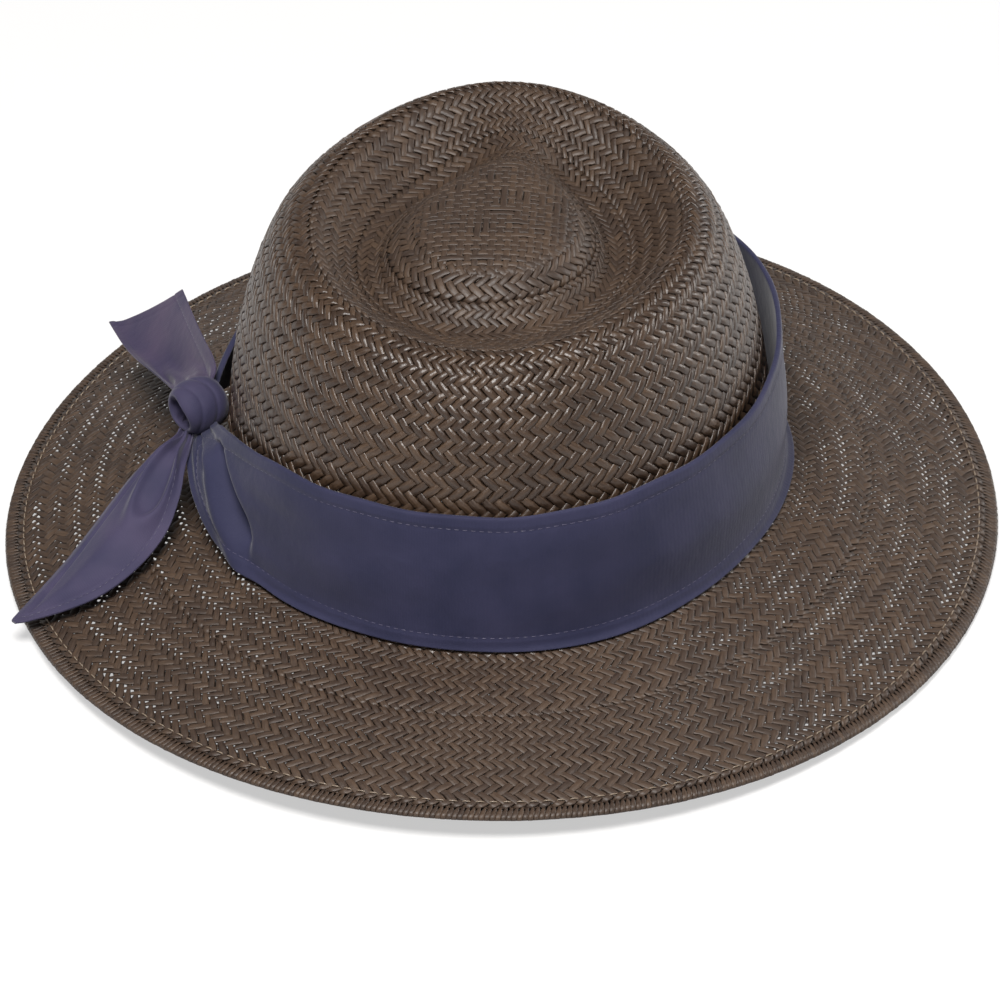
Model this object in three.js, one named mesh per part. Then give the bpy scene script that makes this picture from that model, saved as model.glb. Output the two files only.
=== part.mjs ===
// A wide-brimmed fedora woven from paper straw, with a cloth scarf tied round the foot of its crown.
// Millimetres, +Z up, the hat's front towards -Y and the wearer's left towards +X. The origin is on the
// surface that the hat lies on, under the middle of its brim.

import * as THREE from 'three';

// ---- Driving dimensions ----------------------------------------------------

const standHeight = 20.872; // height of the brim's break, where crown meets brim, above the surface
const wall = 1.2; // woven straw
const hemWall = 2.2; // the brim's edge, folded under and sewn
const hemStart = 13.62; // where the folded edge begins, counted in sections from the tip
const edgeRound = 0.4; // how far the fold bulges past the last section
const brimTwist = 1.4; // the brim's front left and back right corners lie this much lower
const segments = 64; // facets round the hat

const scarfThickness = 1.6; // the scarf, folded flat in layers
const pleatThickness = 3.4; // where its layers are gathered into the knot
const bandSegments = 84;

const tailThickness = 1.3;
const tailSegments = 18;
const tailColumns = 6;

const knotCentre = [90.1, 13.8, 25.6]; // heights here are above the brim's break
const knotHalf = [7.8, 8.2, 8.4];
const knotSquareness = 0.72; // 1 is an ellipsoid, 0 a box

const straw = new THREE.MeshStandardMaterial({ color: '#57483c', roughness: 0.55, metalness: 0 });
const cotton = new THREE.MeshStandardMaterial({ color: '#383a4e', roughness: 0.9, metalness: 0 });

// ---- The hat's sections ----------------------------------------------------
// Each row is one ring round the hat, from the middle of the tip out to the brim's edge.
// width: half width. front, back: reach of the ring that way. taper: how much it narrows to the front.
// slant: how far its front is pushed to the wearer's right. left, right, fore, aft: height above the
// break on that side. ridge: extra height on the front's middle line. rows: facet rows to the next ring.

const sections = [
  { name: 'tip', width: 0, front: 0, back: 0, taper: 0, slant: 0, left: 90, right: 90, fore: 90, aft: 90, ridge: 0, rows: 2 },
  { name: 'dome', width: 20, front: 22, back: 29, taper: 0.22, slant: 1.5, left: 88, right: 88, fore: 90, aft: 88, ridge: 0, rows: 2 },
  { name: 'flank', width: 28, front: 32, back: 41, taper: 0.3, slant: 3, left: 83, right: 81, fore: 84.5, aft: 83, ridge: 3, rows: 2 },
  { name: 'moat', width: 35, front: 42, back: 51, taper: 0.22, slant: 3, left: 78, right: 74, fore: 77, aft: 76.5, ridge: 9, rows: 2 },
  { name: 'slope', width: 45, front: 55, back: 62, taper: 0.1, slant: 1.5, left: 80.5, right: 77.5, fore: 83, aft: 78.5, ridge: 6, rows: 2 },
  { name: 'crest', width: 56, front: 67.5, back: 73.5, taper: 0.03, slant: 0, left: 86, right: 85.5, fore: 92, aft: 83, ridge: 1, rows: 2 },
  { name: 'shoulder', width: 66, front: 75, back: 83, taper: 0, slant: 0, left: 80.5, right: 80, fore: 86, aft: 77, ridge: 0, rows: 2 },
  { name: 'upper wall', width: 74, front: 83.5, back: 90.5, taper: 0, slant: 0, left: 64, right: 64, fore: 69, aft: 62, ridge: 0, rows: 1 },
  { name: 'middle wall', width: 79.5, front: 91.5, back: 96, taper: 0, slant: 0, left: 43, right: 43, fore: 46, aft: 42, ridge: 0, rows: 1 },
  { name: 'lower wall', width: 82.5, front: 96, back: 99.5, taper: 0, slant: 0, left: 22, right: 22, fore: 22, aft: 21, ridge: 0, rows: 1 },
  { name: 'foot', width: 84, front: 98, back: 101.5, taper: 0, slant: 0, left: 5, right: 5, fore: 5, aft: 4.5, ridge: 0, rows: 4 },
  { name: 'break', width: 88, front: 102, back: 105.5, taper: 0, slant: 0, left: 0, right: 0, fore: 0, aft: -0.5, ridge: 0, rows: 2 },
  { name: 'inner brim', width: 105.4, front: 119.7, back: 122, taper: 0, slant: 0, left: -4, right: -4, fore: -3.2, aft: -3.3, ridge: 0, rows: 2 },
  { name: 'middle brim', width: 128.9, front: 143.5, back: 145, taper: 0, slant: 0, left: -11, right: -11, fore: -9, aft: -7.6, ridge: 0, rows: 2 },
  { name: 'edge', width: 152.3, front: 168, back: 168, taper: 0, slant: 0, left: -18.4, right: -18.2, fore: -14.6, aft: -12, ridge: 0, rows: 1 },
];
const sectionIndex = (name) => sections.findIndex((row) => row.name === name);
const breakRow = sectionIndex('break');
const edgeRow = sectionIndex('edge');

// ---- The scarf's band ------------------------------------------------------
// Each row is one place along the band, from the knot's back side round behind the hat to its front side.
// angle: degrees from the wearer's left towards the back. low, high: heights of its two edges above the
// break. lowOut, highOut: how far the outer face stands off the crown there.

const bandPlaces = [
  { angle: 12.8, low: 18.4, high: 30, lowOut: 10, highOut: 7.4 },
  { angle: 17, low: 14.8, high: 31, lowOut: 11.6, highOut: 7 },
  { angle: 22, low: 10.5, high: 32.5, lowOut: 12.6, highOut: 6.6 },
  { angle: 28, low: 5.8, high: 35.5, lowOut: 11.4, highOut: 5.8 },
  { angle: 35, low: 2.6, high: 38, lowOut: 8.6, highOut: 5 },
  { angle: 45, low: 1.1, high: 40.5, lowOut: 5.4, highOut: 4.8 },
  { angle: 62, low: 0.8, high: 42.5, lowOut: 3.4, highOut: 5.4 },
  { angle: 90, low: 0.8, high: 43, lowOut: 2.6, highOut: 4.4 },
  { angle: 135, low: 0.8, high: 43, lowOut: 2.5, highOut: 4.6 },
  { angle: 180, low: 0.9, high: 43.5, lowOut: 2.5, highOut: 5.8 },
  { angle: 212, low: 0.9, high: 44.5, lowOut: 2.5, highOut: 8 },
  { angle: 250, low: 0.9, high: 43.5, lowOut: 2.5, highOut: 6 },
  { angle: 290, low: 0.9, high: 43, lowOut: 2.5, highOut: 4.4 },
  { angle: 322, low: 1.1, high: 41.5, lowOut: 4, highOut: 4.4 },
  { angle: 337, low: 3.5, high: 38.5, lowOut: 7.2, highOut: 5 },
  { angle: 349, low: 9, high: 33.5, lowOut: 9.4, highOut: 4.6 },
  { angle: 362.5, low: 17.5, high: 30.5, lowOut: 10, highOut: 5.4 },
];
const gatherAngle = 15; // degrees over which the band thins out from its gathered ends

// ---- The scarf's two ends --------------------------------------------------
// Each row is one place along an end, from the knot outwards, as the two edges of the cloth there.
// lx, ly, lz and rx, ry, rz: its left and right edges, seen from above with the knot behind.
// belly: how far the cloth between them bows up.

const upperTail = [
  { lx: 98.6, ly: 5.4, lz: 24, rx: 86, ry: 5.2, rz: 33, belly: 1 },
  { lx: 104.4, ly: -8.1, lz: 20.5, rx: 87.4, ry: -1.5, rz: 33.4, belly: -2 },
  { lx: 113.2, ly: -25.1, lz: 15.5, rx: 90.6, ry: -10.5, rz: 33, belly: -5 },
  { lx: 120.4, ly: -43, lz: 10.5, rx: 95, ry: -24, rz: 32, belly: -4 },
  { lx: 127.2, ly: -62.9, lz: 6, rx: 101.6, ry: -46, rz: 30, belly: -1.5 },
];
const lowerTail = [
  { lx: 91.8, ly: 22, lz: 17.9, rx: 97.2, ry: 19, rz: 17.9, belly: 1 },
  { lx: 92.9, ly: 34, lz: 16, rx: 103.4, ry: 26.4, rz: 15.4, belly: 4 },
  { lx: 94.2, ly: 42, lz: 10.5, rx: 110.3, ry: 30.8, rz: 9.4, belly: 5.5 },
  { lx: 97.8, ly: 49.6, lz: 3.4, rx: 116.9, ry: 35.1, rz: 2.2, belly: 5.5 },
  { lx: 104.7, ly: 60, lz: -1.4, rx: 122.5, ry: 41.5, rz: -3, belly: 5 },
  { lx: 114.4, ly: 69.2, lz: -5.6, rx: 128.3, ry: 50.5, rz: -7.2, belly: 3.5 },
  { lx: 126.1, ly: 73.6, lz: -9.4, rx: 135.1, ry: 61.4, rz: -10.8, belly: 1.5 },
  { lx: 140.4, ly: 77.2, lz: -12.2, rx: 141.8, ry: 75.2, rz: -12.4, belly: 0 },
];

// ---- Curves and surfaces ---------------------------------------------------

// One value of a table's column at a place between its rows, on a Catmull-Rom curve through them.
function between(rows, column, place) {
  const last = rows.length - 1;
  const i = Math.min(Math.max(Math.floor(place), 0), last - 1);
  const f = place - i;
  const [a, b, c, d] = [i - 1, i, i + 1, i + 2].map((k) => rows[Math.min(Math.max(k, 0), last)][column]);
  const slope = (c - a) * f;
  const curve = (2 * a - 5 * b + 4 * c - d) * f ** 2;
  return (2 * b + slope + curve + (3 * b - a - 3 * c + d) * f ** 3) / 2;
}

// The hat's upper surface. place counts sections from the tip; angle is in radians, 0 at the wearer's
// left and a quarter turn at the back.
function hatSurface(place, angle) {
  const at = (column) => between(sections, column, place);
  const c = Math.cos(angle);
  const s = Math.sin(angle);
  const x = at('width') * c * (1 + at('taper') * s) + at('slant') * s;
  const y = ((at('back') * (1 + s)) / 2 + (at('front') * (1 - s)) / 2) * s;
  const sides = ((at('left') * (1 + c)) / 2 + (at('right') * (1 - c)) / 2) * c * c;
  const ends = ((at('aft') * (1 + s)) / 2 + (at('fore') * (1 - s)) / 2) * s * s;
  const ridge = at('ridge') * Math.max(0, -s) ** 8;
  const onBrim = Math.min(Math.max((place - breakRow) / (edgeRow - breakRow), 0), 1);
  const z = sides + ends + ridge + brimTwist * onBrim * 2 * s * c;
  return new THREE.Vector3(x, y, standHeight + z);
}

// The surface's outward direction, from two short steps across it.
function hatNormal(place, angle) {
  const step = 0.01;
  const inner = Math.max(place - step, step / 2);
  const along = hatSurface(inner + 2 * step, angle).sub(hatSurface(inner, angle));
  const round = hatSurface(inner + step, angle + step).sub(hatSurface(inner + step, angle - step));
  return along.cross(round).normalize();
}

// The place on the crown's wall at a height above the break, by halving.
function wallPlace(height, angle) {
  let high = sectionIndex('shoulder');
  let low = breakRow + 0.5;
  for (let i = 0; i < 30; i += 1) {
    const middle = (high + low) / 2;
    if (hatSurface(middle, angle).z - standHeight > height) high = middle;
    else low = middle;
  }
  return (high + low) / 2;
}

// A closed mesh from rings of equal length: walls between rings, and a fan or a flat cap at each end.
function loft(rings, closedRound) {
  const points = rings.flat();
  const count = rings[0].length;
  const faces = [];
  for (let i = 0; i < rings.length - 1; i += 1) {
    for (let j = 0; j < count; j += 1) {
      const a = i * count + j;
      const b = i * count + ((j + 1) % count);
      faces.push(a, b, a + count, b, b + count, a + count);
    }
  }
  if (closedRound) {
    const last = (rings.length - 1) * count;
    for (let j = 1; j < count - 1; j += 1) {
      faces.push(0, j + 1, j, last, last + j, last + j + 1);
    }
  }
  const geometry = new THREE.BufferGeometry().setFromPoints(points);
  geometry.setIndex(faces);
  geometry.computeVertexNormals();
  return geometry;
}

// ---- The straw body --------------------------------------------------------

// The rows of facets, as places along the sections.
function facetRows() {
  const places = [];
  sections.slice(0, -1).forEach((row, i) => {
    for (let k = 0; k < row.rows; k += 1) places.push(i + k / row.rows);
  });
  const brim = places.filter((place) => place > 0 && place < hemStart - 0.3);
  return [...brim, hemStart - 0.04, hemStart + 0.04, edgeRow];
}

// One ring of the shell, at a depth under the upper surface.
function shellRing(place, depth, reach = 0) {
  return Array.from({ length: segments }, (_, j) => {
    const angle = (2 * Math.PI * j) / segments;
    const normal = hatNormal(place, angle);
    const point = hatSurface(place, angle).addScaledVector(normal, -depth);
    const out = new THREE.Vector3(Math.cos(angle), Math.sin(angle), 0);
    return point.addScaledVector(out, reach);
  });
}

function strawBody() {
  const places = facetRows();
  const depthAt = (place) => (place > hemStart ? hemWall : wall);
  const upper = places.map((place) => shellRing(place, 0));
  const fold = shellRing(edgeRow, hemWall / 2, edgeRound);
  const under = places.map((place) => shellRing(place, depthAt(place))).reverse();
  const rings = [...upper, fold, ...under];
  const points = rings.flat();
  const tip = hatSurface(0, 0);
  const top = points.push(tip) - 1;
  const hollow = points.push(tip.clone().setZ(tip.z - wall)) - 1;
  const faces = [];
  for (let j = 0; j < segments; j += 1) {
    const next = (j + 1) % segments;
    for (let i = 0; i < rings.length - 1; i += 1) {
      const a = i * segments + j;
      const b = i * segments + next;
      faces.push(a, a + segments, b, b, a + segments, b + segments);
    }
    const last = (rings.length - 1) * segments;
    faces.push(top, j, next, hollow, last + next, last + j);
  }
  const geometry = new THREE.BufferGeometry().setFromPoints(points);
  geometry.setIndex(faces);
  geometry.computeVertexNormals();
  return new THREE.Mesh(geometry, straw);
}

// ---- The scarf -------------------------------------------------------------

// The band's four-cornered section at a fraction of the way round it.
function bandSection(fraction) {
  const place = fraction * (bandPlaces.length - 1);
  const at = (column) => between(bandPlaces, column, place);
  const angle = THREE.MathUtils.degToRad(at('angle'));
  const first = bandPlaces[0].angle;
  const lastAngle = bandPlaces[bandPlaces.length - 1].angle;
  const toEnd = Math.min(at('angle') - first, lastAngle - at('angle'));
  const gathered = Math.max(0, 1 - toEnd / gatherAngle) ** 2;
  const thickness = THREE.MathUtils.lerp(scarfThickness, pleatThickness, gathered);
  const corner = (height, out) => {
    const spot = wallPlace(height, angle);
    const away = hatNormal(spot, angle).setZ(0).normalize();
    return hatSurface(spot, angle).setZ(standHeight + height).addScaledVector(away, out);
  };
  const lowOut = at('lowOut');
  const highOut = at('highOut');
  return [
    corner(at('low'), lowOut - thickness),
    corner(at('high'), highOut - thickness),
    corner(at('high'), highOut),
    corner(at('low'), lowOut),
  ];
}

function scarfBand() {
  const rings = Array.from({ length: bandSegments + 1 }, (_, i) => bandSection(i / bandSegments));
  return new THREE.Mesh(loft(rings, true), cotton);
}

function scarfKnot() {
  const geometry = new THREE.IcosahedronGeometry(1, 5);
  const points = geometry.getAttribute('position');
  const square = (value) => Math.sign(value) * Math.abs(value) ** knotSquareness;
  for (let i = 0; i < points.count; i += 1) {
    points.setXYZ(i, square(points.getX(i)), square(points.getY(i)), square(points.getZ(i)));
  }
  geometry.scale(...knotHalf);
  geometry.computeVertexNormals();
  const knot = new THREE.Mesh(geometry, cotton);
  knot.position.set(knotCentre[0], knotCentre[1], knotCentre[2] + standHeight);
  return knot;
}

// One end of the scarf: a thin sheet between two edges, bowed by its belly.
function scarfTail(rows) {
  const rings = Array.from({ length: tailSegments + 1 }, (_, i) => {
    const place = (i / tailSegments) * (rows.length - 1);
    const at = (column) => between(rows, column, place);
    const left = new THREE.Vector3(at('lx'), at('ly'), at('lz') + standHeight);
    const right = new THREE.Vector3(at('rx'), at('ry'), at('rz') + standHeight);
    const across = right.clone().sub(left).normalize();
    const up = new THREE.Vector3(0, 0, 1).addScaledVector(across, -across.z).normalize();
    const side = (lift) => Array.from({ length: tailColumns + 1 }, (_unused, j) => {
      const f = j / tailColumns;
      const bow = at('belly') * Math.sin(Math.PI * f) + lift;
      return left.clone().lerp(right, f).addScaledVector(up, bow);
    });
    return [...side(tailThickness / 2), ...side(-tailThickness / 2).reverse()];
  });
  return new THREE.Mesh(loft(rings, true), cotton);
}

// ---- The hat ---------------------------------------------------------------

const pieces = {
  straw_body: strawBody(),
  scarf_band: scarfBand(),
  scarf_knot: scarfKnot(),
  tail_upper: scarfTail(upperTail),
  tail_lower: scarfTail(lowerTail),
};

const hat = new THREE.Group();
Object.entries(pieces).forEach(([name, mesh]) => {
  mesh.name = name;
  hat.add(mesh);
});

export default hat;
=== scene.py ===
"""A wide-brimmed fedora woven from paper straw, with a cotton scarf tied round its crown.

The hat's front is towards -Y and the wearer's left, where the scarf is knotted, towards +X. Lengths in
the tables are millimetres, with heights above the break where the crown meets the brim; meshes are metres.
"""

import math
from collections import namedtuple

import bmesh
import bpy
import numpy as np
from bpy.props import FloatProperty, FloatVectorProperty, IntProperty, PointerProperty
from mathutils import Matrix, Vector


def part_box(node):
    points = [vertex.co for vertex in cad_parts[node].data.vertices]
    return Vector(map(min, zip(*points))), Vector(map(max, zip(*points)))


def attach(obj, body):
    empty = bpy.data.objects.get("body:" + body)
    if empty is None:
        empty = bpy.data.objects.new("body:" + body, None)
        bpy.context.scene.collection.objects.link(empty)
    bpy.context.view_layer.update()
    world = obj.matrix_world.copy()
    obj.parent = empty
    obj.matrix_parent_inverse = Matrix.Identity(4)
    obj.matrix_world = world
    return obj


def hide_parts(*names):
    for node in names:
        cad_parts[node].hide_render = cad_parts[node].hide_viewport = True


bl_info = {
    "name": "Straw Fedora",
    "version": (1, 0, 0),
    "blender": (4, 5, 0),
    "location": "View3D > Sidebar > Fedora",
    "description": "Weaves a straw fedora strand by strand and ties a scarf round it",
    "category": "Add Mesh",
}

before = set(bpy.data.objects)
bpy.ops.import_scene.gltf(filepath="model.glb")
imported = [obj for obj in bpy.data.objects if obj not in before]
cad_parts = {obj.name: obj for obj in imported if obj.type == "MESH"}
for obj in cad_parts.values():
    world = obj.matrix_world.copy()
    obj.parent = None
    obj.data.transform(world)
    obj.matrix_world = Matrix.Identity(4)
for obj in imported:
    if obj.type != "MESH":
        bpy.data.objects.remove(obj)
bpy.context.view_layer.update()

MM = 0.001
TURN = 2 * math.pi

# ---- The hat's form --------------------------------------------------------
# Each row is one ring round the hat, from the middle of the tip out to the brim's edge. width: half
# width. front, back: reach that way. taper: how much it narrows to the front. slant: how far its front
# is pushed to the wearer's right. left, right, fore, aft: height on that side. ridge: extra height on
# the front's middle line.

Section = namedtuple("Section", "name width front back taper slant left right fore aft ridge")
SECTIONS = [
    Section("tip", 0, 0, 0, 0, 0, 90, 90, 90, 90, 0),
    Section("dome", 20, 22, 29, 0.22, 1.5, 88, 88, 90, 88, 0),
    Section("flank", 28, 32, 41, 0.3, 3, 83, 81, 84.5, 83, 3),
    Section("moat", 35, 42, 51, 0.22, 3, 78, 74, 77, 76.5, 9),
    Section("slope", 45, 55, 62, 0.1, 1.5, 80.5, 77.5, 83, 78.5, 6),
    Section("crest", 56, 67.5, 73.5, 0.03, 0, 86, 85.5, 92, 83, 1),
    Section("shoulder", 66, 75, 83, 0, 0, 80.5, 80, 86, 77, 0),
    Section("upper wall", 74, 83.5, 90.5, 0, 0, 64, 64, 69, 62, 0),
    Section("middle wall", 79.5, 91.5, 96, 0, 0, 43, 43, 46, 42, 0),
    Section("lower wall", 82.5, 96, 99.5, 0, 0, 22, 22, 22, 21, 0),
    Section("foot", 84, 98, 101.5, 0, 0, 5, 5, 5, 4.5, 0),
    Section("break", 88, 102, 105.5, 0, 0, 0, 0, 0, -0.5, 0),
    Section("inner brim", 105.4, 119.7, 122, 0, 0, -4, -4, -3.2, -3.3, 0),
    Section("middle brim", 128.9, 143.5, 145, 0, 0, -11, -11, -9, -7.6, 0),
    Section("edge", 152.3, 168, 168, 0, 0, -18.4, -18.2, -14.6, -12, 0),
]
BREAK = 11
EDGE = 14
BRIM_TWIST = 1.4  # the brim's front left and back right corners lie this much lower


def along_rows(rows, name, place):
    """A column of a table at places between its rows, on a Catmull-Rom curve through them."""
    values = np.array([getattr(row, name) for row in rows], dtype=float)
    last = len(rows) - 1
    start = np.clip(np.floor(place).astype(int), 0, last - 1)
    f = place - start
    a, b, c, d = (values[np.clip(start + k, 0, last)] for k in (-1, 0, 1, 2))
    slope = (c - a) * f
    curve = (2 * a - 5 * b + 4 * c - d) * f**2
    return (2 * b + slope + curve + (3 * b - a - 3 * c + d) * f**3) / 2


def hat_surface(place, angle):
    """Points of the hat's upper surface, in mm. place counts sections from the tip."""
    place, angle = np.broadcast_arrays(np.asarray(place, float), np.asarray(angle, float))
    c, s = np.cos(angle), np.sin(angle)

    def at(name):
        return along_rows(SECTIONS, name, place)

    x = at("width") * c * (1 + at("taper") * s) + at("slant") * s
    y = (at("back") * (1 + s) + at("front") * (1 - s)) / 2 * s
    sides = (at("left") * (1 + c) + at("right") * (1 - c)) / 2 * c**2
    ends = (at("aft") * (1 + s) + at("fore") * (1 - s)) / 2 * s**2
    ridge = at("ridge") * np.maximum(0, -s) ** 8
    on_brim = np.clip((place - BREAK) / (EDGE - BREAK), 0, 1)
    z = sides + ends + ridge + BRIM_TWIST * on_brim * 2 * s * c
    return np.stack([x, y, z], axis=-1)


def unit(vectors):
    return vectors / np.maximum(np.linalg.norm(vectors, axis=-1, keepdims=True), 1e-12)


def hat_normal(place, angle):
    """The surface's outward direction, from two short steps across it."""
    step = 0.02
    place = np.maximum(place, step)
    down = hat_surface(place + step, angle) - hat_surface(place - step, angle)
    around = hat_surface(place, angle + step) - hat_surface(place, angle - step)
    return unit(np.cross(down, around))


def wall_place(height, angle):
    """The place on the crown's wall at a height, by halving."""
    height, angle = np.broadcast_arrays(np.asarray(height, float), np.asarray(angle, float))
    high = np.full(height.shape, 6.0)
    low = np.full(height.shape, BREAK + 0.5)
    for _ in range(26):
        middle = (high + low) / 2
        above = hat_surface(middle, angle)[..., 2] > height
        high = np.where(above, middle, high)
        low = np.where(above, low, middle)
    return (high + low) / 2


def off_wall(height, angle, out):
    """Points that stand off the crown's wall at a height, straight outwards."""
    place = wall_place(height, angle)
    points = hat_surface(place, angle)
    points[..., 2] = height
    away = hat_normal(place, angle)
    away[..., 2] = 0
    return points + unit(away) * np.asarray(out)[..., None]


CREST_PLACES = np.linspace(4.5, 6, 200)  # the crown is highest somewhere on these
CREST_HEIGHT = hat_surface(CREST_PLACES[:, None], np.linspace(0, TURN, 200))[..., 2].max()
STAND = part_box("straw_body")[1][2] / MM - CREST_HEIGHT  # the break's height above the floor


# ---- Meshes ----------------------------------------------------------------


def object_from(name, bm):
    mesh = bpy.data.meshes.new(name)
    bm.to_mesh(mesh)
    bm.free()
    piece = bpy.data.objects.new(name, mesh)
    bpy.context.collection.objects.link(piece)
    return piece


def place_points(mesh, points):
    """Moves a mesh's vertices to points in the tables' millimetres."""
    lifted = points + np.array([0, 0, STAND])
    mesh.vertices.foreach_set("co", (lifted * MM).astype(np.float32).ravel())
    mesh.update()


def enclosed_volume(mesh):
    mesh.calc_loop_triangles()
    corners = np.zeros(len(mesh.loop_triangles) * 3, dtype=np.int32)
    mesh.loop_triangles.foreach_get("vertices", corners)
    points = np.zeros(len(mesh.vertices) * 3, dtype=np.float32)
    mesh.vertices.foreach_get("co", points)
    a, b, c = (points.reshape(-1, 3)[corners.reshape(-1, 3)[:, k]] for k in range(3))
    return np.einsum("ij,ij->i", a, np.cross(b, c)).sum() / 6


def finish_mesh(mesh):
    """Smooth shading, and faces turned outwards if the wrapping turned them in."""
    if enclosed_volume(mesh) < 0:
        mesh.flip_normals()
    mesh.shade_smooth()


def set_uv(mesh, name, corners):
    layer = mesh.uv_layers.new(name=name)
    layer.data.foreach_set("uv", corners.astype(np.float32).ravel())


def loop_vertices(mesh):
    index = np.zeros(len(mesh.loops), dtype=np.int32)
    mesh.loops.foreach_get("vertex_index", index)
    return index


def strand_bundle(name, count, steps):
    """count closed four-sided strands, side by side, and each vertex's strand, step and corner."""
    bm = bmesh.new()
    bmesh.ops.create_cone(bm, cap_ends=True, cap_tris=False, segments=4, radius1=1, radius2=1, depth=steps)
    lengthwise = [e for e in bm.edges if abs(e.verts[0].co.z - e.verts[1].co.z) > 0.5]
    bmesh.ops.subdivide_edges(bm, edges=lengthwise, cuts=steps - 1)
    single = object_from(name + "_single", bm)
    points = np.array([v.co for v in single.data.vertices])
    step = np.round(points[:, 2] + steps / 2).astype(int)
    turned = np.arctan2(points[:, 1], points[:, 0])
    corner = np.round((turned - turned.min()) / (TURN / 4)).astype(int) % 4
    rows = single.modifiers.new("side by side", "ARRAY")
    rows.count = count
    rows.use_relative_offset = False
    rows.use_constant_offset = True
    rows.constant_offset_displace = (3, 0, 0)
    depsgraph = bpy.context.evaluated_depsgraph_get()
    mesh = bpy.data.meshes.new_from_object(single.evaluated_get(depsgraph))
    mesh.name = name
    bpy.data.objects.remove(single)
    strand = np.repeat(np.arange(count), len(points))
    return mesh, strand, np.tile(step, count), np.tile(corner, count)


# Each strand's section is a flat one with its upper edges worn down. The four corners: how far they
# reach across it, how far up from its middle as a share of its thickness, and where they lie across its
# strip of the maps.
ACROSS = np.array([1.0, 0.62, -0.62, -1.0])
UPWARD = np.array([-0.4, 0.5, 0.5, -0.4])
FOLDED = np.array([0.0, 0.2, 0.8, 1.0])


def mark_strands(mesh, strand, step, corner, beat, rng):
    """The maps that the straw's material and its bake read, and each strand's own tint. beat: how far
    a vertex is from the top of a float, as a share of the pattern's repeat."""
    count, steps = strand.max() + 1, step.max()
    loops = loop_vertices(mesh)
    across = FOLDED[corner][loops]
    flat = np.stack([(strand[loops] + 0.06 + 0.88 * across) / count, step[loops] / steps], axis=-1)
    set_uv(mesh, "OFBake", flat)
    shift = rng.uniform(0, 40, count)
    fibre = np.stack([strand[loops] * 5.0 + across * 2, step[loops] * 2 + shift[strand[loops]]], axis=-1)
    set_uv(mesh, "fibre", fibre)
    set_uv(mesh, "float", np.stack([across, beat[loops]], axis=-1))
    tint = mesh.attributes.new("tint", "FLOAT", "POINT")
    tint.data.foreach_set("value", rng.uniform(0, 1, count)[strand].astype(np.float32))


# ---- Woven straw -----------------------------------------------------------
# Each row is one ring of weave, in which every strand passes over two and under two. The weaver adds
# strands where a ring begins, so each ring starts under the last row of the one before. columns: strands
# each way round the hat. row: height of a row as a share of a column's width. start, end: places along
# the sections. thick: a strand's thickness, mm. open: how much narrower the strands are in the openwork.

Ring = namedtuple("Ring", "piece columns row start end thick open")
RINGS = [
    Ring("crown_tip_straw", 62, 0.92, 1.1, 2.3, 0.28, 0),
    Ring("crown_tip_straw", 90, 0.92, 2.1, 3.55, 0.3, 0),
    Ring("crown_tip_straw", 112, 0.95, 3.35, 4.95, 0.34, 0),
    Ring("crown_wall_straw", 130, 0.94, 4.74, 11.15, 0.42, 0),
    Ring("brim_inner_straw", 208, 0.96, 10.75, 12.4, 0.22, 0.4),
    Ring("brim_outer_straw", 260, 0.96, 12.27, 13.8, 0.22, 0.42),
]
Hem = namedtuple("Hem", "columns step start end under thick lean")
HEM = Hem(620, 0.85, 13.74, 13.97, 13.66, 0.26, 0.9)
HEM_CORE = 1.1  # from the upper surface to the middle of the folded hem
HEM_FOLD = 0.6  # radius of the fold, to the middle of the strands
CLEARANCE = 0.06  # between the tops of the strands and the hat's outline
LIFT = 0.55  # how far a strand rises and sinks in the weave, as a share of its thickness
PATCHES_ROUND = 80  # closer and wider patches of openwork, round each row


def ring_path(start, end, under=None):
    """Distances along a path with the place and the turn there: out to end, then under the hem."""
    places = np.linspace(start, end, 60)
    turns = np.zeros(60)
    if under is not None:
        places = np.concatenate([places, np.full(12, end), np.linspace(end, under, 40)])
        turns = np.concatenate([turns, np.linspace(0, np.pi, 12), np.full(40, np.pi)])
    angles = np.linspace(0, TURN, 72, endpoint=False)
    points = hat_surface(places[:, None], angles)
    steps = np.linalg.norm(np.diff(points, axis=0), axis=-1).mean(axis=1)
    steps += np.diff(turns) * HEM_FOLD
    return np.concatenate([[0], np.cumsum(steps)]), places, turns


def ring_girth(place):
    angles = np.linspace(0, TURN, 181)
    points = hat_surface(np.asarray(place)[:, None], angles)
    return np.linalg.norm(np.diff(points, axis=1), axis=-1).sum(axis=1)


def wrap_ring(path, columns, column, along, height):
    """Points of a ring from its flat weave: columns round the hat, mm along its path, and mm up from
    the hat's upper surface."""
    place = np.interp(along, path[0], path[1])
    turn = np.interp(along, path[0], path[2])
    angle = TURN * column / columns
    normal = hat_normal(place, angle)
    outward = np.stack([np.cos(angle), np.sin(angle), np.zeros(angle.shape)], axis=-1)
    facing = normal * np.cos(turn)[:, None] + outward * np.sin(turn)[:, None]
    core = hat_surface(place, angle) - normal * HEM_CORE
    return core + facing * (HEM_CORE + height)[:, None]


def smooth_noise(rng, rows, count, position):
    """Noise that changes smoothly with position, a share of the way round, and from row to row."""
    values = rng.normal(0, 1, (rows.max() + 1, count))
    spot = (position % 1) * count
    low = np.floor(spot).astype(int)
    share = spot - low
    share = share * share * (3 - 2 * share)
    return values[rows, low % count] * (1 - share) + values[rows, (low + 1) % count] * share


def openwork(ring, column, step, loose, rng):
    """How much narrower the strands are between two rows of floats: most at the hat's sides, and coming
    and going round each row."""
    around = column / ring.columns
    beside = np.clip(1.6 * np.abs(np.cos(TURN * around)) - 0.2, 0.1, 1)
    patchy = smooth_noise(rng, step // 4, PATCHES_ROUND, around)
    opened = ring.open * beside * np.clip(0.72 + 0.5 * patchy + 0.3 * loose, 0, 1.15)
    return np.where(np.isin(step % 4, (1, 2)), opened, 0)


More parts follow.
